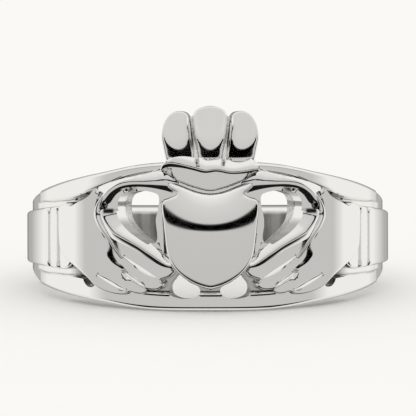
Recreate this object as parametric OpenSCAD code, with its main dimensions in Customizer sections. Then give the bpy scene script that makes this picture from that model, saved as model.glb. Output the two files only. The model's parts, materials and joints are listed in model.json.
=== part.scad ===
// Claddagh ring: two hands hold a crowned heart, cast in one piece with the band.
// Each form is drawn with the ring's own axis along Z, the heart on the -Y side and the
// crown upwards. The whole ring is then leant back until the lower edges of its front and
// back both touch the surface that it lies on. Lengths are in millimetres, angles in degrees.

/* [Band] */
// Radius of the finger hole
bore_r = 8.675; // [7.8:0.025:10.5]
// Thickness of the band's wall
wall = 1.3; // [1.1:0.05:1.8]
// Width of the band at the back of the finger
back_w = 3.3; // [2.6:0.1:4]
// Width of the band at the sides
side_w = 4; // [3.6:0.1:4.6]
// Height of the front's upper edge above the band's middle plane
front_top = 4.05; // [3.8:0.05:4.4]
// Depth of the front's lower edge below the band's middle plane
front_low = 4.16; // [4:0.02:4.5]
// Width of the rail that borders the front above and below
rail_w = 0.7; // [0.55:0.05:0.85]
// Depth of the ground between the rails
ground_depth = 0.45; // [0.3:0.05:0.6]

/* [Heart] */
// Half the width of the heart
heart_half_w = 2.6; // [2.3:0.05:2.8]
// Height of the heart's shoulders above the middle plane
heart_top = 2.95; // [2.7:0.05:3.1]
// Depth of the heart's point below the middle plane
heart_low = 2.96; // [2.7:0.02:3.2]
// Height of the heart's crest over the band
heart_rise = 1.1; // [0.8:0.05:1.4]
// Radius of the heart's dome
heart_dome_r = 6; // [5:0.25:8]

/* [Crown] */
// Half the width of the crown at its base
crown_half_w = 2.45; // [2.2:0.05:2.7]
// Height of the middle petal's top above the middle plane
crown_top = 7.05; // [6.4:0.05:7.8]
// Height of the side petals' tops above the middle plane
crown_side_top = 6.68; // [6:0.02:7.2]
// Radius of a petal's round front
petal_r = 1; // [0.85:0.05:1.2]
// Height of the petals over the band
crown_rise = 0.85; // [0.6:0.05:1.1]
// Radius of the roll at the crown's base
roll_r = 0.43; // [0.35:0.01:0.5]
// Lean of the side petals away from the middle one
petal_lean = 4; // [2:0.5:7]

/* [Hands] */
// Distance from the ring's middle to the wrist end of a hand, across the front
hand_out = 8; // [7.6:0.05:8.3]
// Distance from the ring's middle to the nearest edge of a palm
hand_in = 4.5; // [4.3:0.05:4.8]
// Height of a hand's upper corner above the middle plane
hand_top = 2.62; // [2.4:0.02:2.8]
// Depth of a hand's lower corner below the middle plane
hand_low = 3.1; // [2.9:0.05:3.3]
// Height of a hand's back over the band
hand_rise = 0.75; // [0.5:0.05:1]
// Radius of the dome on a hand's back
hand_dome_r = 6; // [5:0.25:8]
// Radius of a finger
finger_r = 0.46; // [0.44:0.01:0.5]
// Radius of the thumb at its root
thumb_r = 0.5; // [0.42:0.01:0.56]
// Radius of the ridge that runs from a hand to the heart's shoulder
ridge_r = 0.3; // [0.24:0.01:0.36]

/* [Cuffs] */
// Height of a cuff over the band
cuff_rise = 0.38; // [0.25:0.01:0.5]
// Length of a cuff round the band
cuff_len = 8.6; // [6:0.2:10]
// Height of a cuff's upper edge above the middle plane at the wrist
cuff_top = 1.66; // [1.4:0.02:1.8]
// Depth of a cuff's lower edge below the middle plane at the wrist
cuff_low = 2.1; // [1.8:0.05:2.2]

/* [Pierced openings] */
// Width of the large opening beside the heart, at the band's outside
side_hole_w = 2.5; // [2.1:0.05:2.6]
// Height of the large opening beside the heart
side_hole_h = 2.6; // [2.2:0.05:2.7]
// Distance from the ring's middle to the middle of the large opening, across the front
side_hole_out = 4.03; // [3.9:0.01:4.2]
// Height of the large opening's top above the middle plane
side_hole_top = 2.18; // [2:0.02:2.24]
// Width of the opening beside the heart's point
point_hole_w = 1.86; // [1.5:0.02:2]
// Height of the opening beside the heart's point
point_hole_h = 1.3; // [1.1:0.05:1.4]
// Distance from the ring's middle to the middle of that opening, across the front
point_hole_out = 1.45; // [1.35:0.01:1.6]
// Depth of that opening's lowest edge below the middle plane
point_hole_low = 3.46; // [3.4:0.02:3.5]
// Diameter of the round hole under each wrist
wrist_hole_d = 0.98; // [0.7:0.02:1.1]
// Depth of the round hole's middle below the middle plane
wrist_hole_low = 2.36; // [2.3:0.02:2.5]
// Distance from the ring's middle to the round hole's middle, across the front
wrist_hole_out = 6.98; // [6.8:0.02:7.1]
// Length of the wedge-shaped slot over each wrist, along the band
wedge_len = 2.6; // [2.1:0.05:2.8]
// Height of the wedge-shaped slot
wedge_h = 1.04; // [0.8:0.02:1.1]
// Distance from the ring's middle to the middle of the wedge, across the front
wedge_out = 7; // [6.9:0.02:7.1]
// Height of the wedge's thin end above the middle plane
wedge_top = 2.7; // [2.6:0.02:2.8]

/* [Hidden] */
$fn = 64;
band_r = bore_r + wall;
ground_r = band_r - ground_depth;
root_r = bore_r + (wall - ground_depth) * 0.6;
far = 3 * band_r;
degrees_per_mm = 180 / (PI * band_r);

// How the band's edges widen from its sides to its front:
// reach is a share of the band's radius, growth a share of the widening
top_edge = [[0, 0], [0.3, 0.2], [0.55, 0.44], [0.8, 0.72], [1, 1]];
low_edge = [[0, 0], [0.3, 0.33], [0.55, 0.57], [0.8, 0.8], [1, 1]];

// Right half of the heart: across is a share of its half width, up a share of the height
// from its point to its shoulders
heart_half = [[0, 0], [0.16, 0.025], [0.34, 0.075], [0.56, 0.14], [0.74, 0.21], [0.86, 0.3],
    [0.94, 0.42], [0.97, 0.56], [0.99, 0.7], [1, 0.83], [0.99, 0.92], [0.93, 0.98], [0.84, 1],
    [0.62, 0.955], [0.36, 0.915], [0, 0.895]];

// Palm and back of a hand: out is a share of its reach from the palm to the wrist, up a
// share of its height
palm_outline = [[1, 0.814], [0.886, 0.858], [0.5, 1], [0.371, 0.912], [0.471, 0.763],
    [0.429, 0.642], [0.3, 0.483], [0.2, 0.336], [0.03, 0.221], [0.12, 0.08], [0.3, 0.05],
    [0.514, 0.071], [0.714, 0.168], [0.943, 0.274], [1, 0.3]];

// Middle line of the thumb, as out and up above, and its radius as a share of the root's
thumb_line = [[0.286, 0.69, 1], [-0.03, 0.46, 0.84], [-0.8, 0.23, 0.45]];

// Fingers from the knuckle to the tip: both ends as out and up above
finger_lines = [
    [[0.2, 0.47], [-0.61, 0.168]],
    [[0.3, 0.34], [-0.45, 0.066]],
    [[0.48, 0.235], [-0.15, 0.02]],
    [[0.4, 0.075], [0.08, -0.035]]];

// Ridge from the hand to the heart's shoulder, as out and up above, and its radius share
ridge_line = [[0.48, 0.96, 1.2], [-0.77, 1.02, 1]];

// Large opening, from its middle: out and up as shares of its width and height
side_hole_outline = [[-0.46, 0.9], [-0.3, 0.98], [0, 1], [0.25, 0.93], [0.42, 0.8], [0.5, 0.6],
    [0.47, 0.36], [0.34, 0.22], [0.16, 0.1], [-0.1, 0], [-0.32, 0], [-0.45, 0.14], [-0.5, 0.4],
    [-0.48, 0.7]];

// Opening beside the heart's point, from its middle: out and up as shares as above
point_hole_outline = [[-0.5, 0.2], [-0.44, 0.53], [0.2, 1], [0.48, 0.84], [0.5, 0.5],
    [0.43, 0.13], [-0.04, 0]];

// Wedge-shaped slot, from its middle: out and down as shares of its length and height
wedge_outline = [[-0.5, 0], [-0.22, 0.02], [0.12, 0.21], [0.38, 0.5], [0.5, 0.72], [0.46, 1]];

// Ribs of a cuff, as shares of its length from the wrist
cuff_ribs = [[0, 0.042], [0.077, 0.175], [0.198, 1]];

// The point of the band's front at a place seen from the front, raised by lift
function on_band(x, z, lift = 0) = [x, -sqrt(pow(band_r + lift, 2) - x * x), z];

// A place on a hand from its shares
function hand_x(out) = hand_in + out * (hand_out - hand_in);
function hand_z(up) = up * (hand_top + hand_low) - hand_low;

// The height of the band's edge at a share of the way to the front
function edge_z(row, front) = side_w / 2 + row[1] * (front - side_w / 2);

// How far the ring leans back when it lies on its front and back edges
rest_tilt = atan((front_low - back_w / 2) / (2 * band_r));

// A flat outline seen from the front, carried through the front of the ring
module through_front() {
    rotate([90, 0, 0]) linear_extrude(far) children();
}

// A flat outline seen from the right, carried across the ring
module across_ring() {
    rotate([90, 0, 90]) linear_extrude(far, center = true) children();
}

// A raised form that is rooted inside the band's wall
module rooted() {
    difference() {
        children();
        cylinder(r = root_r, h = far, center = true);
    }
}

// Both sides of the ring, the left one mirrored
module both_sides() {
    children();
    mirror([1, 0, 0]) children();
}

// The band's outline seen from the side, with its edges drawn in by inset at the front
module side_outline(inset = 0) {
    polygon(concat(
        [[far, back_w / 2 - inset], [band_r, back_w / 2 - inset]],
        [for (row = top_edge) [-row[0] * band_r, edge_z(row, front_top) - inset]],
        [[-far, front_top - inset], [-far, inset - front_low]],
        [for (i = [len(low_edge) - 1 : -1 : 0])
            [-low_edge[i][0] * band_r, inset - edge_z(low_edge[i], front_low)]],
        [[band_r, inset - back_w / 2], [far, inset - back_w / 2]]));
}

// A sector of the ring seen from above, between two angles from the front
module sector(from, to) {
    steps = 4;
    translate([0, 0, -far / 2]) linear_extrude(far) polygon(concat([[0, 0]],
        [for (i = [0 : steps]) let (a = from + (to - from) * i / steps)
            [far * sin(a), -far * cos(a)]]));
}

// A round limb between two points, with its own radius at each end
module limb(a, a_r, b, b_r) {
    way = b - a;
    long = norm(way);
    translate(a) rotate([0, acos(way[2] / long), atan2(way[1], way[0])])
        rotate_extrude() polygon(concat(
            [[0, -a_r]], [for (t = [-45, 0]) a_r * [cos(t), sin(t)]],
            [for (t = [0, 45]) [0, long] + b_r * [cos(t), sin(t)]], [[0, long + b_r]]));
}

// Plain band with its rails, before anything is raised on it or cut through it
module band() {
    color("silver") difference() {
        intersection() {
            cylinder(r = band_r, h = far, center = true);
            across_ring() side_outline();
        }
        difference() {
            intersection() {
                across_ring() side_outline(rail_w);
                translate([-hand_out, -far, -far / 2]) cube([2 * hand_out, far, far]);
            }
            cylinder(r = ground_r, h = far, center = true);
        }
    }
}

// A flat outline drilled towards the ring's axis, out from the ring's middle
module drilled(out) {
    rotate([0, 0, asin(out / band_r)]) through_front() children();
}

// Large opening between the heart and a hand
module side_hole() {
    drilled(side_hole_out) polygon([for (p = side_hole_outline)
        [p[0] * side_hole_w, side_hole_top + (p[1] - 1) * side_hole_h]]);
}

// Small opening beside the heart's point
module point_hole() {
    drilled(point_hole_out) polygon([for (p = point_hole_outline)
        [p[0] * point_hole_w, p[1] * point_hole_h - point_hole_low]]);
}

// Wedge-shaped slot between the upper rail and a wrist
module wedge_slot() {
    drilled(wedge_out) polygon([for (p = wedge_outline)
        [p[0] * wedge_len, wedge_top - p[1] * wedge_h]]);
}

// Round hole between the lower rail and a wrist, widened so that it looks round from the front
module wrist_hole() {
    widening = wrist_hole_d * (1 / cos(asin(wrist_hole_out / band_r)) - 1);
    drilled(wrist_hole_out) translate([0, -wrist_hole_low]) {
        for (side = [-1, 1]) translate([side * widening / 2, 0]) circle(d = wrist_hole_d);
        square([widening, wrist_hole_d], center = true);
    }
}

// Domed heart
module heart() {
    height = heart_top + heart_low;
    right = [for (p = heart_half) [p[0] * heart_half_w, p[1] * height - heart_low]];
    left = [for (i = [len(right) - 2 : -1 : 1]) [-right[i][0], right[i][1]]];
    color("silver") rooted() intersection() {
        through_front() polygon(concat(right, left));
        translate([0, heart_dome_r - band_r - heart_rise, 0]) sphere(r = heart_dome_r);
    }
}

// Panel between the heart's shoulders and the crown's roll
module crown_seat() {
    color("silver") rooted() intersection() {
        cylinder(r = band_r, h = far, center = true);
        through_front() translate([-crown_half_w, heart_top - heart_top / 4])
            square([2 * crown_half_w, front_top - heart_top * 3 / 4]);
    }
}

// One petal of the crown, upright over its foot, with a face that is round across and upwards
module petal(top, share = 1) {
    foot = front_top - rail_w;
    half_w = petal_r * share * 0.96;
    tall = top - foot;
    intersection() {
        through_front() {
            translate([0, top - half_w]) circle(r = half_w);
            polygon([[-half_w * 0.86, foot], [half_w * 0.86, foot],
                [half_w, top - half_w], [-half_w, top - half_w]]);
        }
        union() {
            cylinder(r = band_r + crown_rise / 6, h = far, center = true);
            intersection() {
                translate([0, petal_r - band_r - crown_rise, front_top + roll_r / 4])
                    cylinder(r = petal_r, h = far);
                translate([0, tall - band_r - crown_rise * 1.1, foot + tall / 4])
                    rotate([0, 90, 0]) cylinder(r = tall, h = far, center = true);
            }
        }
    }
}

// Crown of three petals over a roll
module crown() {
    side_share = 0.86;
    side_x = crown_half_w - petal_r * side_share;
    foot = front_top - rail_w;
    set_back = band_r - sqrt(pow(band_r, 2) - pow(side_x, 2));
    color("silver") {
        petal(crown_top);
        both_sides() translate([side_x, set_back, foot]) rotate([0, petal_lean, 0])
            translate([0, 0, -foot]) petal(crown_side_top, side_share);
        intersection() {
            translate([0, 0, front_top - roll_r / 2]) rotate_extrude()
                translate([band_r + roll_r * 0.9, 0]) circle(r = roll_r);
            translate([-crown_half_w, -far, 0]) cube([2 * crown_half_w, far, far]);
        }
    }
}

// Back and palm of a hand
module palm() {
    turn = asin((hand_in + hand_out) / 2 / band_r);
    reach = band_r + hand_rise - hand_dome_r;
    intersection() {
        through_front() polygon([for (p = palm_outline) [hand_x(p[0]), hand_z(p[1])]]);
        translate([reach * sin(turn), -reach * cos(turn), 0]) sphere(r = hand_dome_r);
    }
}

// Limbs that follow a line of places on a hand
module limb_line(line, root_r, lift) {
    for (i = [0 : len(line) - 2]) {
        a = line[i];
        b = line[i + 1];
        start_share = i == 0 ? 1 : 0.85;
        limb(on_band(hand_x(a[0]), hand_z(a[1]), lift), a[2] * root_r * start_share,
            on_band(hand_x(b[0]), hand_z(b[1]), lift), b[2] * root_r);
    }
}

// Hand with its thumb, four fingers and the ridge along the upper rail
module hand() {
    color("silver") rooted() {
        palm();
        limb_line(thumb_line, thumb_r, finger_r / 3);
        limb_line(ridge_line, ridge_r, 0);
        for (line = finger_lines)
            limb(on_band(hand_x(line[0][0]), hand_z(line[0][1])), finger_r,
                on_band(hand_x(line[1][0]), hand_z(line[1][1])), finger_r);
    }
}

// Ribbed cuff from a wrist round the side of the band
module cuff() {
    from = asin(hand_out / (band_r + cuff_rise));
    sweep = cuff_len * degrees_per_mm;
    wrist_y = -band_r * cos(from);
    color("silver") rooted() intersection() {
        cylinder(r = band_r + cuff_rise, h = far, center = true);
        across_ring() polygon([[wrist_y, cuff_top], [0, cuff_top * 0.75], [band_r, cuff_top * 0.2],
            [band_r, -cuff_low * 0.2], [0, -cuff_low * 0.79], [wrist_y, -cuff_low]]);
        union() for (rib = cuff_ribs) sector(from + rib[0] * sweep, from + rib[1] * sweep);
    }
}

// The whole casting
module ring() {
    rotate([-rest_tilt, 0, 0]) difference() {
        union() {
            difference() {
                band();
                both_sides() {
                    side_hole();
                    point_hole();
                    wedge_slot();
                    wrist_hole();
                }
            }
            heart();
            crown_seat();
            crown();
            both_sides() {
                hand();
                cuff();
            }
        }
        cylinder(r = bore_r, h = far, center = true);
    }
}

ring();
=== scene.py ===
# Looks of a cast claddagh ring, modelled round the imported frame.
# Forms are drawn on the band unrolled: out is the length round the band from the heart's
# middle line, up is the height over the band's middle, lift is the height over its surface.
# These are millimetres on the upright ring. The finished mesh is leant back and in metres.
import json
import math
import bmesh
import bpy
import numpy as np
from mathutils import Matrix, Vector
from mathutils.geometry import delaunay_2d_cdt


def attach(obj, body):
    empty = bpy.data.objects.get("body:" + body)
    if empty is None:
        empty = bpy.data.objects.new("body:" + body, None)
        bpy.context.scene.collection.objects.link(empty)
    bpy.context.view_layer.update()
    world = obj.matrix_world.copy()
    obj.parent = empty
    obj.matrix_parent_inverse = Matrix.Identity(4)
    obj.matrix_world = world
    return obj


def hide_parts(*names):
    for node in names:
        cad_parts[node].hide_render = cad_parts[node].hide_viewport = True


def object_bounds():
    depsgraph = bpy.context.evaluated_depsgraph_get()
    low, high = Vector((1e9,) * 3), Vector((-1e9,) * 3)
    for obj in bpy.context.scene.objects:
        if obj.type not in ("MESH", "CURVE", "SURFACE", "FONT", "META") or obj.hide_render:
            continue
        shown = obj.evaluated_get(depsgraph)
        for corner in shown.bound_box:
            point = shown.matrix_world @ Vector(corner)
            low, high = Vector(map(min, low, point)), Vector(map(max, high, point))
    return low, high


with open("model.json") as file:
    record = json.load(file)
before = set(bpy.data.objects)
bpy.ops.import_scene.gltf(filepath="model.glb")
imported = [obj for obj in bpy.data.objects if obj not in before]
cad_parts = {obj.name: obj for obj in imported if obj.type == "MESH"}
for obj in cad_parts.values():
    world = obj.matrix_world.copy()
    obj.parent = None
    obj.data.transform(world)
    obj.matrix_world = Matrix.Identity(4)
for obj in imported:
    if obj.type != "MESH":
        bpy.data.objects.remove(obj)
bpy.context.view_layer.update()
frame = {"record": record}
print("stage: frame loaded")

fingerHole = frame["record"]["mounts"][0]
holeAxis = Vector(fingerHole["axis"])
ringLean = math.atan2(holeAxis.y, holeAxis.z)   # how far the ring leans back where it lies
boreRadius = fingerHole["dims"]["r_mm"]
wallThickness = 1.3
bandRadius = boreRadius + wallThickness
metre = 0.001
leanBack = Matrix.Rotation(-ringLean, 4, "X")
toFrame = Matrix.Scale(metre, 4) @ leanBack


# Drawing on the band

def onBand(out, up, lift):
    angle = out / bandRadius
    reach = bandRadius + lift
    return Vector((reach * math.sin(angle), -reach * math.cos(angle), up))


# A value read from rows of (place, value), smooth between the rows and level at both ends
def readRows(rows, place):
    if place <= rows[0][0]:
        return rows[0][1]
    if place >= rows[-1][0]:
        return rows[-1][1]
    last = len(rows) - 1
    k = max(i for i in range(last) if rows[i][0] <= place)

    def slope(i):
        if i in (0, last):
            return 0
        return (rows[i + 1][1] - rows[i - 1][1]) / (rows[i + 1][0] - rows[i - 1][0])

    span = rows[k + 1][0] - rows[k][0]
    t = (place - rows[k][0]) / span
    return (rows[k][1] * (2 * t ** 3 - 3 * t ** 2 + 1) + rows[k + 1][1] * (3 * t ** 2 - 2 * t ** 3)
            + slope(k) * span * (t ** 3 - 2 * t ** 2 + t) + slope(k + 1) * span * (t ** 3 - t ** 2))


# A smooth line through chosen points. A point whose number is in corners stays sharp.
def smoothLine(points, perSpan, closed=False, corners=()):
    points = [Vector(p) for p in points]
    count = len(points)
    drawn = []
    for i in range(count if closed else count - 1):
        a, b = points[i], points[(i + 1) % count]
        length = (b - a).length
        before = points[i - 1] if closed or i > 0 else None
        after = points[(i + 2) % count] if closed or i + 2 < count else None

        def leaving(p, far, ownLength, sharp):
            straight = (b - a) / ownLength
            if far is None or sharp:
                return straight * ownLength
            other = (p - far).length
            side = (p - far) / other if p is a else (far - p) / other
            return (side * ownLength + straight * other) / (ownLength + other) * ownLength

        tangentA = leaving(a, before, length, i in corners)
        tangentB = leaving(b, after, length, (i + 1) % count in corners)
        for k in range(perSpan):
            t = k / perSpan
            drawn.append(a * (2 * t ** 3 - 3 * t ** 2 + 1) + b * (3 * t ** 2 - 2 * t ** 3)
                         + tangentA * (t ** 3 - 2 * t ** 2 + t) + tangentB * (t ** 3 - t ** 2))
    if not closed:
        drawn.append(points[-1])
    return drawn


def closedLine(points, perSpan=4, corners=()):
    return smoothLine(points, perSpan, True, corners)


# The faces look outwards, and get a fixed order and first corner, so that every run joins and
# cuts the same mesh
def makeObject(mesh, name):
    if mesh.calc_volume(signed=True) < 0:
        bmesh.ops.reverse_faces(mesh, faces=mesh.faces)
    mesh.verts.index_update()
    faces = []
    for face in mesh.faces:
        corners = [v.index for v in face.verts]
        first = corners.index(min(corners))
        faces.append(corners[first:] + corners[:first])
    data = bpy.data.meshes.new(name)
    data.from_pydata([v.co for v in mesh.verts], [], sorted(faces))
    mesh.free()
    made = bpy.data.objects.new(name, data)
    bpy.context.collection.objects.link(made)
    return made


# How far each place is from a line
def distances(places, line, closed=True):
    places = np.array([p[:2] for p in places])[:, None, :]
    start = np.array([p[:2] for p in line])
    way = np.roll(start, -1, axis=0) - start
    if not closed:
        start, way = start[:-1], way[:-1]
    share = np.clip(((places - start) * way).sum(2) / (way ** 2).sum(1), 0, 1)[..., None]
    return np.linalg.norm(start + way * share - places, axis=2).min(axis=1)


def isInside(places, outline):
    places = np.array([p[:2] for p in places])[:, None, :]
    start = np.array([p[:2] for p in outline])[None, :, :]
    way = np.roll(start, -1, axis=1) - start
    y0, y1 = start[..., 1], (start + way)[..., 1]
    crosses = (y0 > places[..., 1]) != (y1 > places[..., 1])
    height = np.where(way[..., 1] == 0, 1, way[..., 1])
    at = start[..., 0] + (places[..., 1] - y0) / height * way[..., 0]
    return (crosses & (places[..., 0] < at)).sum(axis=1) % 2 == 1


def besideLine(line, distance):
    beside = []
    for i, p in enumerate(line):
        way = (line[min(i + 1, len(line) - 1)] - line[max(i - 1, 0)]).normalized()
        beside.append(p + Vector((-way.y, way.x)) * distance)
    return beside


# How the net of a raised form is laid, in millimetres or in the shares named
netRules = {
    "lineSteps": 6,
    "leafSteps": 4,
    "rimShares": (0.12, 0.35, 0.65, 1),     # rows of points over the rounded rim, as shares of it
    "wallShare": 0.02,                      # one more row where there is a wall
    "rowToOutline": 0.03,
    "rowToLine": 0.9,                       # share of the nearest row's distance
    "pointToOutline": 0.97,                 # share of the distance wanted
    "evenFrom": 1.5,                        # widths of the net between the rim and the even net
    "evenToRows": 0.4,                      # widths of the net between the rows and the even net
    "wallSlope": 4,
    "sameEdge": 1e-5,
    "samePoint": 1e-6,
}


# A raised form: the outline is filled with an even net that is finer along its rounded rim and
# has rows of its own beside its lines of (points, distances of the rows), is drawn out to a foot
# inside the band's wall, and is lifted by liftAt(out, up, inset, near), where near holds the
# distance from each line. The rim is not rounded along the first line if sharpEdge is set.
# A wall is a steep slope of that width outside the rim.
def raisedForm(name, outline, liftAt, rim, net, side=1, rootLift=-0.9, lines=(), sharpEdge=False, wall=0):
    loop = [Vector(p[:2]) for p in outline]
    drawn = [smoothLine(points, netRules["lineSteps"]) for points, rows in lines]
    placed, edges, beside, wide = [], [], [], []
    for line, (points, rows) in zip(drawn, lines):
        if 0 in rows:
            first = len(loop) + len(placed)
            placed += line
            edges += [(first + i, first + i + 1) for i in range(len(line) - 1)]
        for row in rows:
            if row:
                beside += [(p, abs(row)) for p in besideLine(line, row)]
        if rows:
            wide.append((line, max(abs(row) for row in rows)))
    if beside:
        spots = [p for p, row in beside]
        clear = isInside(spots, loop) & (distances(spots, loop) > netRules["rowToOutline"])
        for line, rows in zip(drawn, [rows for points, rows in lines]):
            off = distances(spots, line, False)
            if any(rows):
                clear &= off > netRules["rowToLine"] * min(abs(row) for row in rows if row)
        placed += [p for p, keep in zip(spots, clear) if keep]
    near = []
    rimShares = [*netRules["rimShares"], 1 + net / rim]
    if wall:
        rimShares.insert(0, netRules["wallShare"])
    for share in rimShares:
        inward = wall + rim * share
        for i, p in enumerate(loop):
            way = (loop[(i + 1) % len(loop)] - loop[i - 1]).normalized()
            for across in (Vector((-way.y, way.x)), Vector((way.y, -way.x))):
                near.append((p + across * inward, inward))
    low = [min(p[i] for p in loop) for i in (0, 1)]
    high = [max(p[i] for p in loop) for i in (0, 1)]
    rowStep = net * math.sqrt(3) / 2
    evenInset = wall + rim + net * netRules["evenFrom"]
    for j in range(int((high[1] - low[1]) / rowStep) + 2):
        for k in range(int((high[0] - low[0]) / net) + 2):
            near.append((Vector((low[0] + net * (k + 0.5 * (j % 2)), low[1] + rowStep * j)), evenInset))
    spots = [p for p, wanted in near]
    least = np.array([wanted for p, wanted in near]) * netRules["pointToOutline"]
    good = isInside(spots, loop) & (distances(spots, loop) > least)
    for line, reach in wide:
        good &= distances(spots, line, False) > reach + net * netRules["evenToRows"]
    placed += [p for p, keep in zip(spots, good) if keep]
    filled = delaunay_2d_cdt(loop + placed, edges, [list(range(len(loop)))], 1, netRules["samePoint"])
    sheet = bmesh.new()
    corners = [sheet.verts.new((p[0], p[1], 0)) for p in filled[0]]
    for triangle in filled[2]:
        sheet.faces.new([corners[i] for i in triangle])
    bmesh.ops.delete(sheet, geom=[v for v in sheet.verts if not v.link_faces], context="VERTS")
    bmesh.ops.extrude_face_region(sheet, geom=sheet.faces[:] + sheet.edges[:], use_keep_orig=True)
    sheet.verts.ensure_lookup_table()
    half = len(sheet.verts) // 2
    spots = [v.co.copy() for v in sheet.verts]
    insets = distances(spots, loop)
    fromLines = [distances(spots, line, False) for line in drawn]
    for i, v in enumerate(sheet.verts):
        lift = rootLift
        if i >= half:
            lift = liftAt(v.co.x, v.co.y, insets[i], [d[i] for d in fromLines])
            inset = insets[i] - wall
            if inset < rim and not (sharpEdge and fromLines[0][i] <= insets[i] + netRules["sameEdge"]):
                lift -= rim - math.sqrt(rim ** 2 - (rim - max(0, inset)) ** 2)
            lift -= max(0, -inset) * netRules["wallSlope"]
        v.co = onBand(v.co.x * side, v.co.y, lift)
    bmesh.ops.recalc_face_normals(sheet, faces=sheet.faces)
    return makeObject(sheet, name)


# The rise over an edge line, from rows of (distance from the line, slope there)
def riseOver(rows, distance):
    rise = 0
    for (d0, s0), (d1, s1) in zip(rows, rows[1:]):
        if distance <= d0:
            break
        d = min(distance, d1)
        rise += (d - d0) * (s0 + (s1 - s0) * (d - d0) / (d1 - d0) / 2)
    return rise


# The same, with all lengths scaled
def scaledRise(rows, distance, scale):
    return riseOver(rows, distance / scale) * scale


# The middle and the two sides of a leaf shape along a line
def leafLines(line, width):
    middle = smoothLine(line, netRules["leafSteps"])
    last = len(middle) - 1
    left, right = [], []
    for i, p in enumerate(middle):
        way = (middle[min(i + 1, last)] - middle[max(i - 1, 0)]).normalized()
        across = Vector((-way.y, way.x)) * width * (1 - (2 * i / last - 1) ** 2)
        left.append(p + across)
        right.append(p - across)
    return [(points, (0,)) for points in (middle, left[1:-1], right[1:-1])]


# A closed outline whose first part is exactly the smooth line through its edge points
def edgedOutline(edge, rest):
    steps = netRules["lineSteps"]
    return smoothLine(edge, steps) + smoothLine([edge[-1]] + rest + [edge[0]], steps)[1:-1]


def mirrored(half):
    return half + [(-p[0], p[1]) for p in half[-2:0:-1]]


strandRules = {"lineSteps": 6, "capAngles": (25, 50, 70, 85), "bevelSteps": 6, "samePoint": 1e-5}


# A round strand along rows of (out, up, lift, radius), with round ends
def strand(name, rows, side):
    line = smoothLine(rows, strandRules["lineSteps"])
    quarter = [math.radians(a) for a in strandRules["capAngles"]]
    for end in (0, -1):
        tip = line[end]
        inward = line[1] if end == 0 else line[-2]
        way = (Vector(tip[:2]) - Vector(inward[:2])).normalized()
        cap = []
        for a in quarter:
            run = way * tip[3] * math.sin(a)
            cap.append(Vector((tip[0] + run.x, tip[1] + run.y, tip[2], tip[3] * math.cos(a))))
        line = cap[::-1] + line if end == 0 else line + cap
    curve = bpy.data.curves.new(name, "CURVE")
    curve.dimensions = "3D"
    curve.bevel_depth = 1
    curve.bevel_resolution = strandRules["bevelSteps"]
    curve.use_fill_caps = True
    spline = curve.splines.new("POLY")
    spline.points.add(len(line) - 1)
    for point, row in zip(spline.points, line):
        point.co = (*onBand(row[0] * side, row[1], row[2]), 1)
        point.radius = row[3]
    holder = bpy.data.objects.new(name, curve)
    bpy.context.collection.objects.link(holder)
    tube = bmesh.new()
    tube.from_mesh(holder.to_mesh())
    bpy.data.objects.remove(holder)
    bmesh.ops.remove_doubles(tube, verts=tube.verts, dist=strandRules["samePoint"])
    bmesh.ops.recalc_face_normals(tube, faces=tube.faces)
    return makeObject(tube, name)


# A cutter that runs towards the ring's axis, with its inner end shifted round the band
def drill(name, outline, side, shift):
    cutter = bmesh.new()
    innerRadius = boreRadius - openings["insideBore"]
    outer = [cutter.verts.new(onBand(p[0] * side, p[1], openings["outsideLift"])) for p in outline]
    top = cutter.faces.new(outer)
    grown = bmesh.ops.extrude_face_region(cutter, geom=[top])["geom"]
    for v in grown:
        if isinstance(v, bmesh.types.BMVert):
            angle = math.atan2(v.co.x, -v.co.y) + shift * side / bandRadius
            v.co.x, v.co.y = innerRadius * math.sin(angle), -innerRadius * math.cos(angle)
    bmesh.ops.triangulate(cutter, faces=[f for f in cutter.faces if len(f.verts) > 4])
    bmesh.ops.recalc_face_normals(cutter, faces=cutter.faces)
    return makeObject(cutter, name)


def flatLift(height):
    return lambda out, up, inset, near: height


forms = []
cutters = []

# Band: the profile is spun, then each of its points is placed for its angle
band = {
    "steps": 360,
    "edgeRound": 0.2,
    "boreRound": 0.6,
    "roundAngles": (0, 22, 45, 67, 90),
    "railStand": 0.12,      # how far the rails stand over the back of the band
    "railEnd": 12.4,
    "railFade": 0.2,
    "groundDepth": 0.45,
    "topEdge": [(-1, 1.65), (-0.5, 1.75), (0, 2.0), (0.3, 2.42), (0.55, 2.9), (0.8, 3.46), (1, 4.02)],
    "lowEdge": [(-1, 1.65), (-0.5, 1.75), (0, 2.03), (0.3, 2.68), (0.55, 3.17), (0.8, 3.68), (1, 4.14)],
    "topRail": [(0, 0.3), (2.8, 0.4), (4.8, 0.52), (6.1, 0.75), (8.7, 1.05), (10.6, 0.86), (12.4, 0.62)],
    "lowRail": [(0, 0.96), (4, 0.96), (8.5, 1.08), (9.9, 0.93), (12.4, 0.72)],
    "groundFade": [(0, 1), (7.5, 1), (9, 0.75), (11, 0.4), (12.4, 0.15), (13, 0)],
    "planBore": 9.6,
    "planFace": 10,
    "planEdge": ((1, 0), (0.75, 0.04), (0.45, 0.25), (0.15, 0.6), (0.02, 0.85), (0, 1)),
    "planRail": [(9.999, 9.7), (9.999, 9.5), (9.999, 9.3), (10.0, 9.12), (10.03, 9.05), (10.12, 9.0),
                 (10.5, 8.97), (10.9, 8.94), (11, 8.88), (11, 8.4)],
}


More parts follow.
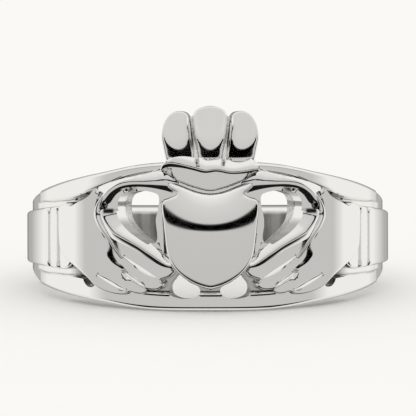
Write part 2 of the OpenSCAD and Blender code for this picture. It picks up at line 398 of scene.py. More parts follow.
# The profile is drawn first as a plan of (radius, height). A radius up to planBore is real. From
# there to planFace it is planFace less the depth under the rail's face, and beyond planFace it adds
# the share of the way from the face to the ground. A height is planFace less the inset from the edge.
def makeBand():
    face, edgeRound, boreRound = band["planFace"], band["edgeRound"], band["boreRound"]
    half = []
    for degrees in band["roundAngles"]:
        a = math.radians(degrees)
        half.append((boreRadius + boreRound * (1 - math.cos(a)), face - boreRound * (1 - math.sin(a))))
    half += [(face - edgeRound * depth, face - edgeRound * inset) for depth, inset in band["planEdge"]]
    half += band["planRail"]
    plan = half + [(face + 1, 0)] + [(r, -z) for r, z in half[::-1]] + [(boreRadius, 0)]
    ring = bmesh.new()
    loop = [ring.verts.new((0, -r, z)) for r, z in plan]
    edges = [ring.edges.new((loop[i - 1], loop[i])) for i in range(len(loop))]
    bmesh.ops.spin(ring, geom=loop + edges, cent=(0, 0, 0), axis=(0, 0, 1), angle=math.tau,
                   steps=band["steps"], use_merge=True)
    for v in ring.verts:
        angle = math.atan2(v.co.x, -v.co.y)
        out = abs(angle) * bandRadius
        planRadius = math.hypot(v.co.x, v.co.y)
        planHeight = v.co.z
        upper = planHeight > 0
        edge = readRows(band["topEdge" if upper else "lowEdge"], math.cos(angle))
        rail = readRows(band["topRail" if upper else "lowRail"], out)
        toEnd = band["railEnd"] + band["railFade"] / 2 - out
        stand = band["railStand"] * min(1, max(0, toEnd / band["railFade"]))
        ground = bandRadius - band["groundDepth"] * readRows(band["groundFade"], out)
        inset = face - abs(planHeight)
        if planRadius > band["planBore"] and inset > edgeRound:
            inset = edgeRound + (inset - edgeRound) * (rail - edgeRound) / (1 - edgeRound)
        if planRadius <= band["planBore"]:
            radius = planRadius
        elif planRadius <= face:
            radius = bandRadius + stand - (face - planRadius)
        else:
            share = planRadius - face
            radius = (bandRadius + stand) * (1 - share) + ground * share
        height = edge - inset
        if planHeight == 0:
            top, low = [readRows(band[word], math.cos(angle)) for word in ("topEdge", "lowEdge")]
            height = (top - low) / 2
        elif not upper:
            height = -height
        v.co = (radius * math.sin(angle), -radius * math.cos(angle), height)
    bmesh.ops.recalc_face_normals(ring, faces=ring.faces)
    return makeObject(ring, "band")


bandForm = makeBand()
print("stage: band")

# Heart: half its outline from the point up, mirrored in the code
heart = {
    "rise": 1.2,
    "domeAcross": 11.0,
    "domeUp": (4.8, 1.0),       # radius of the dome upwards: in the middle, and its gain outwards
    "flatTo": -0.04,            # height where the flat lower part ends
    "lowBend": 60,
    "rim": 0.14,
    "outline": [(0, -3.0), (0.6, -2.8), (1.1, -2.53), (1.55, -2.18), (1.88, -1.8), (2.12, -1.35),
                (2.27, -0.85), (2.36, -0.2), (2.44, 0.5), (2.52, 1.05), (2.56, 1.45), (2.55, 1.75),
                (2.45, 1.95), (2.1, 2.08), (1.76, 2.24), (2.15, 2.5), (2.42, 2.8), (2.35, 3.08),
                (1.9, 2.92), (1.4, 2.73), (0.9, 2.53), (0.4, 2.38), (0, 2.34)],
    "corners": (0, 14, 32),
    "edgeBevel": 0.22,
    "bevelDepth": 0.8,
    "flank": [(2.45, 1.95), (2.7, 1.86), (2.82, 1.5), (2.93, 1.05), (2.96, 0.5), (2.86, -0.1),
              (2.68, -0.75), (2.4, -1.35), (2.05, -1.75), (1.8, -1.6), (2.0, -0.5), (2.1, 0.5),
              (2.25, 1.5)],
    "shade": [(2.5, 1.0), (2.64, 0.55), (2.65, 0.2), (2.63, -0.13), (2.56, -0.5), (2.47, -0.81),
              (2.33, -1.15), (2.0, -1.2), (2.05, -0.5), (2.1, 0.2), (2.2, 0.9)],
    "flankLift": 0.2,
    "shadeFoot": -0.1,
    "shadeSlope": 3.6,
    "shadeTop": 0.76,
    "wall": 0.04,
}
crownValley = [(0, 2.34), (0.4, 2.38), (0.9, 2.53), (1.4, 2.73), (1.9, 2.92), (2.35, 3.1), (2.7, 3.3)]


def heartLift(out, up, inset, near):
    domeUp = heart["domeUp"][0] + heart["domeUp"][1] * out ** 2
    lift = heart["rise"] - max(0, up - heart["flatTo"]) ** 2 / (2 * domeUp)
    lift -= out ** 2 / (2 * heart["domeAcross"])
    lift -= max(0, -up) ** 2 / heart["lowBend"]
    bevel = heart["edgeBevel"]
    below = readRows(crownValley, abs(out)) - up
    if below < bevel:
        lift -= heart["bevelDepth"] * (bevel - math.sqrt(max(0, bevel ** 2 - (bevel - max(0, below)) ** 2)))
    return lift


# The steep side of the heart
def shadeLift(out, up, inset, near):
    return min(heart["shadeTop"], heart["shadeSlope"] * inset + heart["shadeFoot"])


heartLine = closedLine(mirrored(heart["outline"]), 5, heart["corners"])
forms.append(raisedForm("heart", heartLine, heartLift, heart["rim"], net=0.11, wall=heart["wall"]))
for side in (1, -1):
    forms.append(raisedForm(f"heartFlank{side}", closedLine(heart["flank"]), flatLift(heart["flankLift"]),
                            rim=0.06, net=0.12, side=side))
    forms.append(raisedForm(f"heartShade{side}", closedLine(heart["shade"]), shadeLift, rim=0.02, net=0.06,
                            side=side))
print("stage: heart")

# Hands: the upper level is the back of the hand with the two lower fingers, the lower level
# holds the two upper fingers and the thumb's root
hand = {
    "backEdge": [(6.1, 2.4), (6.33, 1.7), (6.38, 1.25), (6.24, 0.75), (5.93, 0.2), (5.66, -0.3),
                 (5.42, -0.95), (5.17, -1.38), (4.85, -1.68), (4.62, -1.9)],
    "backRest": [(4.85, -2.0), (4.49, -2.31), (3.95, -2.64), (3.56, -2.9), (3.47, -3.08), (3.7, -3.22),
                 (4.1, -3.2), (4.42, -3.13), (4.65, -3.25), (5.2, -3.25), (5.84, -3.08), (6.3, -2.85),
                 (6.82, -2.36), (7.55, -1.8), (8.35, -1.24), (8.83, -0.62), (8.9, -0.1), (8.93, 0.9),
                 (8.86, 1.58), (8.44, 1.74), (7.9, 1.93), (7.1, 2.3), (6.6, 2.6)],
    "backHeight": [(3.4, 0.24), (4.5, 0.34), (5.4, 0.5), (6.5, 0.7), (7.5, 0.8), (8.5, 0.82), (9, 0.8)],
    "backSlopes": [(0, 1), (1, 1), (1.6, 0), (9, 0)],       # for the black crease, over its width and slope
    "backWidth": [(-1.9, 0.12), (-1.4, 0.22), (-1.0, 0.26), (-0.5, 0.18), (-0.1, 0.1), (0.3, 0.08)],
    "backSlope": [(-1.9, 0.125), (-1.38, 0.146), (-0.95, 0.2), (-0.3, 0.3), (0.2, 0.2), (0.8, 0.05)],
    "backRows": (0.04, 0.08, 0.13, 0.18, 0.24, 0.3, 0.36, 0.43),
    "lip": [(5.95, 2.14, 0.5, 0.1), (6.2, 1.6, 0.58, 0.15), (6.26, 1.1, 0.62, 0.17),
            (6.08, 0.6, 0.62, 0.16), (5.76, 0.1, 0.56, 0.14), (5.46, -0.38, 0.46, 0.12),
            (5.24, -0.82, 0.34, 0.11), (4.98, -1.25, 0.2, 0.08)],
    "thumbCrease": [(6.15, 1.35), (6.15, 1.0), (5.97, 0.58), (5.72, 0.2), (5.42, -0.13), (5.0, -0.36),
                    (4.53, -0.57), (4.04, -0.8), (3.31, -1.25), (2.37, -1.76), (2.05, -1.82)],
    "thumbRest": [(1.93, -1.68), (2.05, -1.48), (2.46, -1.1), (3.1, -0.5), (3.7, 0.0), (4.2, 0.4),
                  (4.7, 0.8), (5.0, 1.2), (5.3, 1.4), (5.8, 1.42)],
    "thumbHeight": 0.58,
    "thumbSlopes": [(0, 0.62), (0.19, 0.24), (0.23, 0), (0.32, -0.45), (0.42, -0.52), (9, -0.52)],
    "thumbRows": (-0.05, -0.1, -0.15, -0.19, -0.23, -0.275, -0.32, -0.42, -0.52),
    "thumbScale": [(2.1, 0.5), (2.6, 0.9), (3.3, 1.1), (4.5, 1.35), (5.2, 1.5), (5.7, 1.2), (6.1, 0.6)],
    "corner": [(4.8, 2.7), (5.5, 2.5), (6.0, 2.2), (6.25, 1.6), (6.2, 1.35), (5.3, 1.3), (4.5, 1.6)],
    "cornerHeight": 0.22,
    "ridgeEdge": [(1.5, 2.12), (1.79, 2.22), (2.25, 2.4), (2.73, 2.52), (3.6, 2.64), (4.3, 2.64),
                  (4.84, 2.54), (5.4, 2.26), (5.85, 1.78)],
    "ridgeScale": [(1.5, 2.0), (2.2, 2.2), (2.9, 1.5), (3.6, 1.1), (5, 1), (5.8, 0.8)],
    "ridgeRest": [(6.3, 1.6), (7.2, 1.8), (7.1, 2.33), (6.6, 2.58), (6.1, 2.76), (4.81, 3.11), (3.54, 3.35),
                  (2.75, 3.5), (2.3, 3.36), (1.97, 3.12), (1.6, 2.88)],
    "ridgeHeight": [(1.5, 0.1), (1.9, 0.36), (2.3, 0.46), (2.75, 0.48), (4, 0.45), (5.3, 0.47), (6.2, 0.56),
                    (7.2, 0.6)],
    "ridgeSlopes": [(0, 0.6), (0.12, 0.24), (0.15, 0.03), (0.25, 0), (0.3, -0.18), (0.45, -0.5), (9, -0.5)],
    "ridgeRows": (0.05, 0.09, 0.12, 0.15, 0.2, 0.25, 0.3, 0.38, 0.45, 0.55),
    "palm": [(5.75, 0.5), (4.9, -0.1), (4.0, -0.55), (3.0, -1.1), (2.4, -1.5), (2.1, -1.75), (2.0, -2.03),
             (2.2, -2.27), (2.5, -2.4), (2.72, -2.46), (2.6, -2.6), (2.6, -2.82), (2.8, -2.98),
             (3.1, -3.03), (3.42, -3.0), (4.0, -2.9), (5.0, -2.6), (5.8, -2.2), (6.3, -1.4), (6.2, -0.5),
             (6.2, 0.3)],
    "palmCorners": (0, 9, 14),
    "palmHeight": 0.24,
    "palmGrooves": [[(4.98, -1.08), (4.24, -1.6), (3.51, -2.05), (2.78, -2.45)],
                    [(5.2, -1.8), (4.49, -2.24), (3.95, -2.57), (3.5, -2.86)]],
    "backGroove": [(6.35, -2.1), (5.75, -2.42), (5.04, -2.82), (4.5, -3.08)],
    "grooveWidth": 0.11,
    "grooveDepth": 0.08,
    "grooveLeast": 0.001,
}


# How deep a groove is at a place. It is widest and deepest in its middle.
def grooveAt(line, out, up, distance):
    start, end = Vector(line[0]), Vector(line[-1])
    along = (Vector((out, up)) - (start + end) / 2).length / ((end - start).length / 2)
    if along >= 1:
        return 0
    width = hand["grooveWidth"] * max(hand["grooveLeast"], 1 - along ** 2)
    return hand["grooveDepth"] * max(0, 1 - distance / width) * width / hand["grooveWidth"]


def backLift(out, up, inset, near):
    width = readRows(hand["backWidth"], up)
    whole = scaledRise(hand["backSlopes"], hand["backSlopes"][-1][0], width)
    edge = scaledRise(hand["backSlopes"], near[0], width) - whole
    lift = readRows(hand["backHeight"], out) + edge * readRows(hand["backSlope"], up)
    return lift - grooveAt(hand["backGroove"], out, up, near[1])


def thumbLift(out, up, inset, near):
    return hand["thumbHeight"] + scaledRise(hand["thumbSlopes"], near[0], readRows(hand["thumbScale"], out))


def ridgeLift(out, up, inset, near):
    height = readRows(hand["ridgeHeight"], out)
    return height + scaledRise(hand["ridgeSlopes"], near[0], readRows(hand["ridgeScale"], out))


# The upper line of the palm stands out and the lower one is cut in. Each has three lines in near.
def palmLift(out, up, inset, near):
    upper, lower = hand["palmGrooves"]
    return hand["palmHeight"] + grooveAt(upper, out, up, near[0]) - grooveAt(lower, out, up, near[3])


palmLines = [leaf for line in hand["palmGrooves"] for leaf in leafLines(line, hand["grooveWidth"])]
backLines = [(hand["backEdge"], hand["backRows"])] + leafLines(hand["backGroove"], hand["grooveWidth"])
for side in (1, -1):
    word = "right" if side > 0 else "left"
    forms.append(raisedForm(f"{word}Back", edgedOutline(hand["backEdge"], hand["backRest"]), backLift,
                            rim=0.07, net=0.12, side=side, lines=backLines, sharpEdge=True))
    forms.append(strand(f"{word}Lip", hand["lip"], side))
    forms.append(raisedForm(f"{word}Thumb", edgedOutline(hand["thumbCrease"], hand["thumbRest"]), thumbLift,
                            rim=0.03, net=0.08, side=side, lines=[(hand["thumbCrease"], hand["thumbRows"])],
                            sharpEdge=True))
    forms.append(raisedForm(f"{word}Ridge", edgedOutline(hand["ridgeEdge"], hand["ridgeRest"]), ridgeLift,
                            rim=0.03, net=0.08, side=side, lines=[(hand["ridgeEdge"], hand["ridgeRows"])],
                            sharpEdge=True))
    forms.append(raisedForm(f"{word}Palm", closedLine(hand["palm"], corners=hand["palmCorners"]), palmLift,
                            rim=0.1, net=0.12, side=side, lines=palmLines))
    forms.append(raisedForm(f"{word}Corner", closedLine(hand["corner"]), flatLift(hand["cornerHeight"]),
                            rim=0.05, net=0.12, side=side))
print("stage: hands")

# Cuffs: ribs round the band under each wrist
cuff = {
    "start": 9.08,
    "end": 17.2,
    "lift": 0.38,
    "grooves": [(9.5, 0.28, 0.08), (9.5, 0.07, 0.09), (10.52, 0.3, 0.07), (10.52, 0.07, 0.08)],
    "panelEnd": 12.94,
    "panelStep": 0.07,
    "stepWidth": 0.08,
    "endRound": 0.05,
    "endHeights": (0, -0.5),
    "parts": 40,
    "innerSteps": 3,
    "top": [(8.8, 1.62), (12, 1.46), (15.7, 1.25), (17.5, 1.2)],
    "low": [(8.8, -1.92), (11, -1.75), (15.7, -1.5), (17.5, -1.45)],
    "rim": 0.14,
    "inner": [(8.75, -1.86), (8.45, -1.68), (8.25, -1.35), (8.5, -0.9), (8.85, -0.3), (9.0, 0.3),
              (9.0, 1.0)],
    "lineHeights": (-1.5, -0.5, 0.5, 1.25),
    "lineRows": (-0.07, -0.035, 0, 0.035, 0.07),
    "lineReach": ((9.5, 0.17), (10.52, 0.18), (12.98, 0.12)),
}


def cuffLift(out, up, inset, near):
    lift = cuff["lift"] - cuff["panelStep"] * min(1, max(0, (out - cuff["panelEnd"]) / cuff["stepWidth"]))
    for at, half, depth in cuff["grooves"]:
        if abs(out - at) < half:
            lift -= depth * (1 + math.cos(math.pi * (out - at) / half)) / 2
    return lift


cuffLength = cuff["end"] - cuff["start"]
cuffOuts = [cuff["start"] + cuffLength * k / cuff["parts"] for k in range(cuff["parts"] + 1)]
cuffLine = [(o, readRows(cuff["top"], o)) for o in cuffOuts]
cuffLine += [(cuff["end"] + cuff["endRound"], up) for up in cuff["endHeights"]]
cuffLine += [(o, readRows(cuff["low"], o)) for o in cuffOuts[::-1]]
cuffLine += smoothLine(cuff["inner"], cuff["innerSteps"])
cuffRows = [([(o, up) for up in cuff["lineHeights"]], (-reach, *cuff["lineRows"], reach))
            for o, reach in cuff["lineReach"]]
for side in (1, -1):
    word = "right" if side > 0 else "left"
    forms.append(raisedForm(f"{word}Cuff", cuffLine, cuffLift, cuff["rim"], net=0.2, side=side,
                            lines=cuffRows))
print("stage: cuffs")

# Crown: three petals that lean back, each between two thin rims, over a roll
crown = {
    "backing": [(0, 6.9), (0.9, 6.45), (1.1, 6.35), (1.5, 6.6), (1.85, 6.6), (2.3, 6.1), (2.4, 5.5),
                (2.2, 4.4), (2.2, 3.9), (2.15, 3.45), (2.0, 3.1), (1.2, 2.4), (0, 2.15)],
    "ledge": [(0, 2.15), (1, 2.4), (2, 2.8), (2.45, 3.1), (2.45, 3.35), (2.1, 3.17), (1.6, 2.97),
              (1.1, 2.78), (0.6, 2.62), (0, 2.5)],
    "shoulder": [(2.35, 3.0), (2.8, 3.15), (3.3, 3.35), (2.9, 3.6), (2.62, 3.72), (2.54, 3.5), (2.48, 3.2)],
    "shoulderHeight": 0.35,
    "backingHeight": 0.12,
    "ledgeHeight": 0.28,
    "rootPast": 0.02,           # how far the backing starts inside the finger hole
    "middlePetal": [(0, 7.08), (0.42, 7.0), (0.78, 6.82), (0.94, 6.5), (0.93, 6.1), (0.8, 5.4), (0.6, 4.7),
                    (0.5, 4.0)],
    "sidePetal": [(1.6, 6.8), (1.93, 6.75), (2.25, 6.53), (2.44, 6.2), (2.5, 5.78), (2.48, 5.3),
                  (2.36, 4.7), (2.24, 4.0), (1.5, 3.95), (0.86, 4.0), (0.95, 4.6), (1.04, 5.3), (1.1, 6.0),
                  (1.16, 6.5), (1.32, 6.7)],
    "middleSpan": [(4.0, -0.52, 0.52), (4.7, -0.62, 0.62), (5.4, -0.78, 0.78), (6.1, -0.9, 0.9),
                   (7.1, -0.95, 0.95)],
    "sideSpan": [(4.0, 0.85, 2.22), (4.7, 0.96, 2.36), (5.4, 1.04, 2.5), (6.1, 1.1, 2.52),
                 (6.9, 1.12, 2.5)],
    "foot": 4.22,
    "peak": 0.8,
    "footSlope": 0.085,
    "slopeGain": 0.25,
    "steepest": 0.28,
    "bendFrom": (0.3, 0.45, 0.9),   # where the lean grows: in the middle, and its delay towards the sides
    "roundness": 0.13,
    "middleRound": (0, 0.65),       # where the round is highest, and its half width
    "sideRound": (1.62, 0.78),
    "rims": [[(0.5, 4.1, 0.66, 0.09), (0.62, 4.7, 0.56, 0.08), (0.77, 5.4, 0.5, 0.07),
              (0.87, 6.1, 0.36, 0.05), (0.87, 6.5, 0.2, 0.02)],
             [(0.9, 4.1, 0.64, 0.09), (0.97, 4.7, 0.56, 0.08), (1.05, 5.4, 0.5, 0.07),
              (1.12, 6.1, 0.36, 0.05), (1.2, 6.5, 0.2, 0.02)],
             [(2.2, 4.1, 0.64, 0.1), (2.34, 4.7, 0.56, 0.1), (2.46, 5.3, 0.5, 0.09),
              (2.46, 5.9, 0.38, 0.06), (2.34, 6.35, 0.2, 0.02)]],
    "post": [(0.68, 3.86, 0.86, 0.09), (0.7, 4.1, 0.86, 0.13), (0.73, 4.35, 0.68, 0.13),
             (0.82, 5.0, 0.42, 0.12), (0.93, 5.8, 0.32, 0.12), (1.0, 6.4, 0.2, 0.1)],
    "rollLow": [(-2.55, 3.54), (-2.26, 3.69), (-1.55, 3.69), (-0.86, 3.54), (-0.26, 3.39), (0.29, 3.46),
                (0.98, 3.34), (1.87, 3.39), (2.52, 3.56)],
    "rollRest": [(2.45, 3.9), (2.15, 4.15), (1.6, 4.28), (0.8, 4.24), (0, 4.22), (-0.8, 4.26), (-1.6, 4.3),
                (-2.12, 4.14), (-2.42, 3.85)],
    "rollLift": 0.94,
    "rollSlopes": [(0, 0.5), (0.1, 0.3), (0.13, -0.1), (0.3, -0.25), (0.5, -0.5), (9, -0.5)],
    "rollScale": [(-2.4, 1.5), (-2.0, 1.7), (-1.2, 1.2), (-0.3, 1), (1, 0.75), (2, 0.9), (2.4, 0.6)],
    "rollRows": (0.04, 0.08, 0.12, 0.16, 0.2, 0.25, 0.32, 0.42),
}


# A petal is round at its foot, flat at its top, and leans back more and more
def petalLiftWith(spanRows, middle, halfWidth):
    def petalLift(out, up, inset, near):
        start = readRows([(r[0], r[1]) for r in spanRows], up)
        end = readRows([(r[0], r[2]) for r in spanRows], up)
        across = min(1, abs(2 * out - start - end) / (end - start))
        least, broad, thin = crown["bendFrom"]
        bendFrom = least + broad * across ** 2 + thin * across ** 8
        bendTo = bendFrom + (crown["steepest"] - crown["footSlope"]) / crown["slopeGain"]
        lean = riseOver([(0, crown["footSlope"]), (bendFrom, crown["footSlope"]), (bendTo, crown["steepest"]),
                         (9, crown["steepest"])], up - crown["foot"])
        return crown["peak"] - lean - crown["roundness"] * ((out - middle) / halfWidth) ** 2
    return petalLift


def rollLift(out, up, inset, near):
    return crown["rollLift"] + scaledRise(crown["rollSlopes"], near[0], readRows(crown["rollScale"], out))


forms.append(raisedForm("crownBacking", closedLine(mirrored(crown["backing"])),
                        flatLift(crown["backingHeight"]), rim=0.1, net=0.25,
                        rootLift=-wallThickness - crown["rootPast"]))
forms.append(raisedForm("crownLedge", closedLine(mirrored(crown["ledge"])), flatLift(crown["ledgeHeight"]),
                        rim=0.05, net=0.1))
middlePetal = crown["middlePetal"] + [(-p[0], p[1]) for p in crown["middlePetal"][:0:-1]]
forms.append(raisedForm("middlePetal", closedLine(middlePetal, 5, (7, 8)),
                        petalLiftWith(crown["middleSpan"], *crown["middleRound"]), rim=0.07, net=0.08))
for side in (1, -1):
    word = "right" if side > 0 else "left"
    forms.append(raisedForm(f"{word}Petal", closedLine(crown["sidePetal"], 5, (7, 9)),
                            petalLiftWith(crown["sideSpan"], *crown["sideRound"]), rim=0.07, net=0.08,
                            side=side))
    for number, rows in enumerate(crown["rims"]):
        forms.append(strand(f"{word}Rim{number}", rows, side))
    forms.append(strand(f"{word}Post", crown["post"], side))
    forms.append(raisedForm(f"{word}Shoulder", closedLine(crown["shoulder"]),
                            flatLift(crown["shoulderHeight"]), rim=0.06, net=0.12, side=side))
forms.append(raisedForm("crownRoll", edgedOutline(crown["rollLow"], crown["rollRest"]), rollLift, rim=0.05,
                        net=0.09, lines=[(crown["rollLow"], crown["rollRows"])], sharpEdge=True))
print("stage: crown")

# Openings: their outlines on one side, and how far the inner end of each lies further out
openings = {
    "outsideLift": 2.2,
    "insideBore": 0.6,
    "boreLength": 30,
    "side": [(3.04, 2.2), (3.03, 1.5), (3.18, 0.84), (3.1, 0.1), (3.12, -0.3), (3.27, -0.5), (3.6, -0.35),
             (4.0, -0.08), (4.35, 0.16), (4.75, 0.52), (5.05, 0.92), (5.17, 1.4), (5.15, 1.9), (4.95, 2.22),
             (4.6, 2.36), (3.5, 2.38)],
    "point": [(2.38, -2.75), (2.12, -2.4), (1.86, -2.14), (1.2, -2.6), (0.6, -2.95), (0.58, -3.18),
              (0.75, -3.35), (1.4, -3.5), (1.9, -3.42), (2.3, -3.2)],
    "wedge": [(6.62, 2.6), (7.0, 2.58), (7.35, 2.47), (8.2, 2.06), (8.42, 1.76), (8.2, 1.6), (7.6, 1.8),
              (7.1, 2.02), (6.8, 2.25)],
    "wrist": [(7.6, -1.78), (7.2, -2.05), (6.95, -2.3), (6.72, -2.6), (6.9, -2.85), (7.3, -2.85),
              (7.65, -2.5), (7.82, -2.1)],
}
innerShift = {"side": 0, "point": 0, "wedge": -0.6, "wrist": 0}
for side in (1, -1):
    word = "right" if side > 0 else "left"
    for name, shift in innerShift.items():
        cutters.append(drill(f"{word}Opening{name}", closedLine(openings[name]), side, shift))
boreCutter = bmesh.new()
bmesh.ops.create_cone(boreCutter, cap_ends=True, cap_tris=False, segments=band["steps"], radius1=boreRadius,
                      radius2=boreRadius, depth=openings["boreLength"])
boreObject = makeObject(boreCutter, "boreCutter")
print("stage: openings")

# One casting
sharpFrom = 32      # degrees between two faces
for number, form in enumerate(forms):
    join = bandForm.modifiers.new(f"join{number}", "BOOLEAN")
    join.operation, join.solver, join.object = "UNION", "MANIFOLD", form
for number, form in enumerate(cutters + [boreObject]):
    cut = bandForm.modifiers.new(f"cut{number}", "BOOLEAN")
    cut.operation, cut.solver, cut.object = "DIFFERENCE", "MANIFOLD", form
finished = bpy.data.meshes.new_from_object(bandForm.evaluated_get(bpy.context.evaluated_depsgraph_get()))
ring = bpy.data.objects.new("claddaghRing", finished)
bpy.context.collection.objects.link(ring)
finished.transform(toFrame)
for form in forms + cutters + [boreObject, bandForm]:
    bpy.data.objects.remove(form)
finished.shade_smooth()
finished.set_sharp_from_angle(angle=math.radians(sharpFrom))
print("stage: casting", len(finished.vertices), "points", len(finished.polygons), "faces")


# Shader nodes

def mathNode(tree, operation, a, b=None, c=None):
    node = tree.nodes.new("ShaderNodeMath")
    node.operation = operation
    for socket, value in zip(node.inputs, (a, b, c)):
        if value is None:
            continue
        if isinstance(value, (int, float)):
            socket.default_value = value
        else:
            tree.links.new(value, socket)
    return node.outputs[0]


# From one range of values to another, held at both ends
def mapRange(tree, value, low, high, toLow=0.0, toHigh=1.0):
    node = tree.nodes.new("ShaderNodeMapRange")
    for name, number in (("From Min", low), ("From Max", high), ("To Min", toLow), ("To Max", toHigh)):
        node.inputs[name].default_value = number
    tree.links.new(value, node.inputs["Value"])
    return node.outputs[0]


# One from the second to the third of four values, fading to nothing outside
def between(tree, value, rows):
    return [mapRange(tree, value, rows[0], rows[1]), mapRange(tree, value, rows[3], rows[2])]


def product(tree, shares):
    result = shares[0]
    for share in shares[1:]:
        result = mathNode(tree, "MULTIPLY", result, share)
    return result


def noise(tree, vector, scale, detail):
    node = tree.nodes.new("ShaderNodeTexNoise")
    node.inputs["Scale"].default_value = scale
    node.inputs["Detail"].default_value = detail
    tree.links.new(vector, node.inputs["Vector"])
    return node.outputs[0]


def mixColour(tree, share, a, b):
    node = tree.nodes.new("ShaderNodeMix")
    node.data_type = "RGBA"
    tree.links.new(share, node.inputs["Factor"])
    for socket, value in ((node.inputs[6], a), (node.inputs[7], b)):
        if isinstance(value, tuple):
            socket.default_value = (*value, 1)
        else:
            tree.links.new(value, socket)
    return node.outputs[2]


# Silver: polished where it stands out, grainy as cast in the deep places, duller inside the hole. Shade and a
# reflection are painted into its colour: the deepest places at the sides and the bottom and the inside of the
# hole are painted darker as shade, the gap over the thumb's root is painted near black as shade, and the step
# beside the heart is painted near black as a reflection.
# The pattern is read in millimetres on the upright ring: aside is the distance from its middle,
# up the height, radius the distance from its axis.
silverLook = {
    "polished": (0.87, 0.865, 0.85),
    "cast": (0.55, 0.545, 0.53),
    # Painted shade colour for the deepest places at the sides and the bottom.
    "roughShade": (0.26, 0.257, 0.25),
    # Inside the hole: brushed streaks between these two tones, both painted darker than the polished metal as
    # shade.
    "insideDark": (0.3, 0.295, 0.29),
    "insideLight": (0.66, 0.655, 0.64),
    "streaks": (1.6, 2),                # scale and detail of a noise, here and below
    "streakStretch": (1, 1, 0.2),
    "streakRange": (0.35, 0.65),
    "clouds": (0.8, 2),
    "cloudRange": (0.3, 0.7),
    "roughness": (0.05, 0.09),
    "castRoughness": 0.22,
    "insideRoughness": 0.3,
    "grain": (7.0, 3),
    "grainHeight": 0.02,
    "grainShare": (0.35, 0.6, 1, 0.35),
    "grooveRadius": (9.48, 9.3),
    "insideRadius": (8.73, 8.685),
    "crownUp": (3.72, 3.82),
    "crownRadius": (10.05, 9.98),
    "seam": (0.126, 0.194),     # between the petals: how far a seam slants out, and where it would start
    "seamWidth": (0.13, 0.08),
    "frontFrom": (-5, -5.6),
    "boreEdge": (2.8, 2.7),
    "roughShadeAside": (5.15, 5.25),
    "roughShadeUp": (-1.95, -2.05, 0, 0.45),
    "roughShadeRadius": (9.66, 9.58),
    # The near black is painted: a painted reflection in the step beside the heart, and painted shade in the
    # gap over the thumb's root.
    "paintedNearBlack": (0.03, 0.03, 0.03),         # for the step beside the heart and the gap over the thumb's root
    "gapAside": (5.24, 5.36, 5.82, 5.92),
    "gapUp": (1.16, 1.24, 1.4, 1.5),
    "stepUp": (1.2, 0.9, -1.0, -1.1),
    "stepRadius": (9.9, 10.0),
    "stepLine": (0.105, 2.47),          # how far the step slants out, and where it is at the middle
    "stepWidth": (1.2, -0.9, 0.02, 0.15),
    "stepSides": (-1, 1, 1, 0.45),      # narrower on the right
    "stepEdge": 0.02,
}
silver = bpy.data.materials.new("polishedSilver")
silver.use_nodes = True
tree = silver.node_tree
shader = tree.nodes["Principled BSDF"]
shader.inputs["Metallic"].default_value = 1
upright = tree.nodes.new("ShaderNodeMapping")
upright.inputs["Rotation"].default_value = (ringLean, 0, 0)
upright.inputs["Scale"].default_value = (1 / metre, 1 / metre, 1 / metre)
tree.links.new(tree.nodes.new("ShaderNodeTexCoord").outputs["Object"], upright.inputs["Vector"])
split = tree.nodes.new("ShaderNodeSeparateXYZ")
tree.links.new(upright.outputs[0], split.inputs[0])
squares = [mathNode(tree, "MULTIPLY", split.outputs[i], split.outputs[i]) for i in (0, 1)]
reach = mathNode(tree, "SQRT", mathNode(tree, "ADD", *squares))
inside = mapRange(tree, reach, *silverLook["insideRadius"])
atFront = mathNode(tree, "MULTIPLY", mapRange(tree, split.outputs[1], *silverLook["frontFrom"]),
                   mapRange(tree, split.outputs[2], *silverLook["boreEdge"]))
inGroove = mathNode(tree, "MULTIPLY", atFront, mapRange(tree, reach, *silverLook["grooveRadius"]))
atCrown = mapRange(tree, split.outputs[2], *silverLook["crownUp"])
inCrown = mathNode(tree, "MULTIPLY", atCrown, mapRange(tree, reach, *silverLook["crownRadius"]))
aside = mathNode(tree, "ABSOLUTE", split.outputs[0])
slant = mathNode(tree, "MULTIPLY_ADD", split.outputs[2], *silverLook["seam"])
offSeam = mathNode(tree, "ABSOLUTE", mathNode(tree, "SUBTRACT", aside, slant))
seam = mathNode(tree, "MULTIPLY", atCrown, mapRange(tree, offSeam, *silverLook["seamWidth"]))
cast = mathNode(tree, "MAXIMUM", mathNode(tree, "MAXIMUM", inGroove, inCrown), seam)
# Painted shade: the deepest places at the sides and the bottom are painted darker, and are as rough as the
# cast metal.
roughShadePlace = mathNode(tree, "MAXIMUM", mapRange(tree, aside, *silverLook["roughShadeAside"]),
                    mapRange(tree, split.outputs[2], *silverLook["roughShadeUp"]))
deep = mathNode(tree, "MULTIPLY", atFront, mapRange(tree, reach, *silverLook["roughShadeRadius"]))
roughShade = mathNode(tree, "MULTIPLY", roughShadePlace, deep)
# Painted reflection: a near black strip on the step beside the heart, where its steep wall would mirror the
# unlit studio behind.
stepLine = mathNode(tree, "MULTIPLY_ADD", split.outputs[2], *silverLook["stepLine"])
offStep = mathNode(tree, "SUBTRACT", aside, stepLine)
stepWidth = mathNode(tree, "MULTIPLY", mapRange(tree, split.outputs[2], *silverLook["stepWidth"]),
                     mapRange(tree, split.outputs[0], *silverLook["stepSides"]))
pastStep = mathNode(tree, "SUBTRACT", offStep, stepWidth)
paintedStepReflection = product(tree, [atFront, mapRange(tree, offStep, 0, silverLook["stepEdge"]),
                        mapRange(tree, pastStep, silverLook["stepEdge"], 0),
                        *between(tree, split.outputs[2], silverLook["stepUp"]),
                        mapRange(tree, reach, *silverLook["stepRadius"])])
